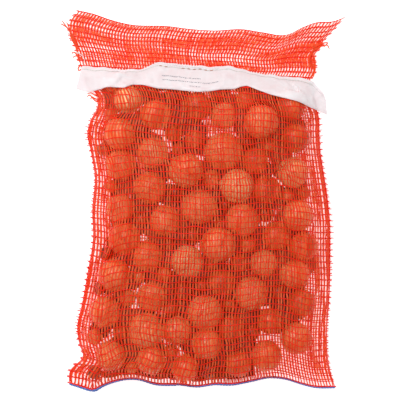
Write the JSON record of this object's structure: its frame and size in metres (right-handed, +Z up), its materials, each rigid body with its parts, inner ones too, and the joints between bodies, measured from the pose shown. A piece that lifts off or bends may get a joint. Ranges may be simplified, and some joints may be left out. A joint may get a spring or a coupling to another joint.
{
  "type": "mesh produce bag",
  "caption": "Knitted red net produce sack lying flat, filled with small onions and sewn shut, with a white label band and an open net header that folds up.",
  "frame": {"origin": "on the floor under the middle of the sack, header included", "axes": "+Z up out of the sack's front, +Y along the sack towards its mouth, +X to the right of the front"},
  "size_m": [0.358, 0.4938, 0.0567],
  "materials": {
    "red_net": "knitted polyethylene tape, slightly glossy and translucent",
    "brown_onion": "dry papery onion skin with fine lengthwise veins",
    "white_nonwoven": "thin white spunbond nonwoven, matte",
    "white_thread": "white spun bag-closing thread",
    "blue_thread": "blue-grey overlock thread"
  },
  "bodies": {
    "root": {"front_net": "red_net", "back_net": "red_net", "left_side_seam": "red_net", "right_side_seam": "red_net", "bottom_seam_thread": "blue_thread", "closing_thread": "white_thread", "label_hem": "white_nonwoven", "thread_tail_right": "white_thread", "onion_01": "brown_onion", "onion_02": "brown_onion", "onion_03": "brown_onion", "onion_04": "brown_onion", "onion_05": "brown_onion", "onion_06": "brown_onion", "onion_07": "brown_onion", "onion_08": "brown_onion", "onion_09": "brown_onion", "onion_10": "brown_onion", "onion_11": "brown_onion", "onion_12": "brown_onion", "onion_13": "brown_onion", "onion_14": "brown_onion", "onion_15": "brown_onion", "onion_16": "brown_onion", "onion_17": "brown_onion", "onion_18": "brown_onion", "onion_19": "brown_onion", "onion_20": "brown_onion", "onion_21": "brown_onion", "onion_22": "brown_onion", "onion_23": "brown_onion", "onion_24": "brown_onion", "onion_25": "brown_onion", "onion_26": "brown_onion", "onion_27": "brown_onion", "onion_28": "brown_onion", "onion_29": "brown_onion", "onion_30": "brown_onion", "onion_31": "brown_onion", "onion_32": "brown_onion", "onion_33": "brown_onion", "onion_34": "brown_onion", "onion_35": "brown_onion", "onion_36": "brown_onion", "onion_37": "brown_onion", "onion_38": "brown_onion", "onion_39": "brown_onion", "onion_40": "brown_onion", "onion_41": "brown_onion", "onion_42": "brown_onion", "onion_43": "brown_onion", "onion_44": "brown_onion", "onion_45": "brown_onion", "onion_46": "brown_onion", "onion_47": "brown_onion", "onion_48": "brown_onion"},
    "header": {"header_front_net": "red_net", "header_back_net": "red_net", "thread_tail_left": "white_thread"},
    "label_flap": {"label_flap": "white_nonwoven"}
  },
  "joints": [
    {"name": "header_fold", "type": "hinge", "parent": "root", "child": "header", "pos_m": [0, 0.16576, 0.002], "axis": [0.9985, -0.0541, 0], "range_deg": [0, 70]},
    {"name": "label_lift", "type": "hinge", "parent": "root", "child": "label_flap", "pos_m": [0, 0.15754, 0.0023], "axis": [-0.9985, 0.0541, 0], "range_deg": [0, 50]}
  ]
}
